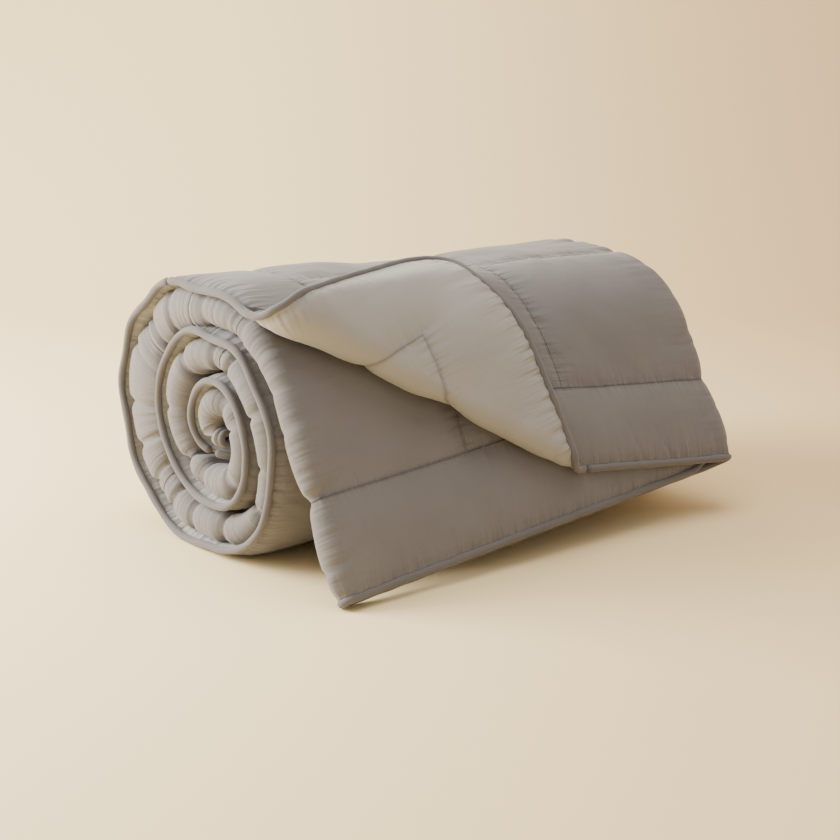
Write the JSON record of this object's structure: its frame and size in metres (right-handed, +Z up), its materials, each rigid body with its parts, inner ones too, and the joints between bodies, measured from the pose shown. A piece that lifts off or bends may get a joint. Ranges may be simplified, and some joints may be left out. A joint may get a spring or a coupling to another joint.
{
  "type": "rolled duvet",
  "caption": "Box-quilted duvet with piped edges, folded in three lengthwise and rolled up, its loose end over the front and one corner turned back.",
  "frame": {"origin": "centre of the bounding box in X and Y, on the floor plane that the roll rests on", "axes": "+X along the roll, from the open coiled end seen in the picture to the far end; +Y from the hanging tail to the back of the roll; +Z up"},
  "size_m": [0.75, 0.5466, 0.3769],
  "materials": {
    "corner_face": "brushed matte",
    "corner_filling": "matte",
    "corner_piping": "brushed matte",
    "corner_reverse": "brushed matte",
    "corner_thread": "brushed matte",
    "roll_face": "brushed matte",
    "roll_filling": "matte",
    "roll_piping": "brushed matte",
    "roll_reverse": "brushed matte",
    "roll_thread": "brushed matte",
    "tail_face": "brushed matte",
    "tail_filling": "matte",
    "tail_piping": "brushed matte",
    "tail_reverse": "brushed matte",
    "tail_thread": "brushed matte"
  },
  "bodies": {
    "roll": {"roll_crosswise_quilting_1": "roll_thread", "roll_crosswise_quilting_2": "roll_thread", "roll_crosswise_quilting_3": "roll_thread", "roll_crosswise_quilting_4": "roll_thread", "roll_crosswise_quilting_5": "roll_thread", "roll_crosswise_quilting_6": "roll_thread", "roll_face_fabric": "roll_face", "roll_fill": "roll_filling", "roll_head_piping": "roll_piping", "roll_inner_side_piping": "roll_piping", "roll_lengthwise_quilting_1": "roll_thread", "roll_lengthwise_quilting_2": "roll_thread", "roll_lengthwise_quilting_3": "roll_thread", "roll_lengthwise_quilting_4": "roll_thread", "roll_lengthwise_quilting_5": "roll_thread", "roll_lengthwise_quilting_6": "roll_thread", "roll_lengthwise_quilting_7": "roll_thread", "roll_outer_side_piping": "roll_piping", "roll_reverse_fabric": "roll_reverse"},
    "tail": {"tail_crosswise_quilting_1": "tail_thread", "tail_crosswise_quilting_2": "tail_thread", "tail_face_fabric": "tail_face", "tail_fill": "tail_filling", "tail_hem_piping": "tail_piping", "tail_inner_side_piping": "tail_piping", "tail_lengthwise_quilting_1": "tail_thread", "tail_lengthwise_quilting_2": "tail_thread", "tail_lengthwise_quilting_3": "tail_thread", "tail_lengthwise_quilting_4": "tail_thread", "tail_lengthwise_quilting_5": "tail_thread", "tail_lengthwise_quilting_6": "tail_thread", "tail_lengthwise_quilting_7": "tail_thread", "tail_outer_side_piping": "tail_piping", "tail_reverse_fabric": "tail_reverse"},
    "corner": {"corner_crosswise_quilting": "corner_thread", "corner_edge_piping": "corner_piping", "corner_face_fabric": "corner_face", "corner_fill": "corner_filling", "corner_lengthwise_quilting": "corner_thread", "corner_reverse_fabric": "corner_reverse"}
  },
  "joints": [
    {"name": "tail_lift", "type": "hinge", "parent": "roll", "child": "tail", "pos_m": [0, 0.03383, 0.3644], "axis": [-1, 0, 0], "range_deg": [0, 58]},
    {"name": "corner_lift", "type": "hinge", "parent": "tail", "child": "corner", "pos_m": [-0.20585, -0.14689, 0.26502], "axis": [0.8383, -0.2889, -0.4623], "range_deg": [0, 120]}
  ]
}
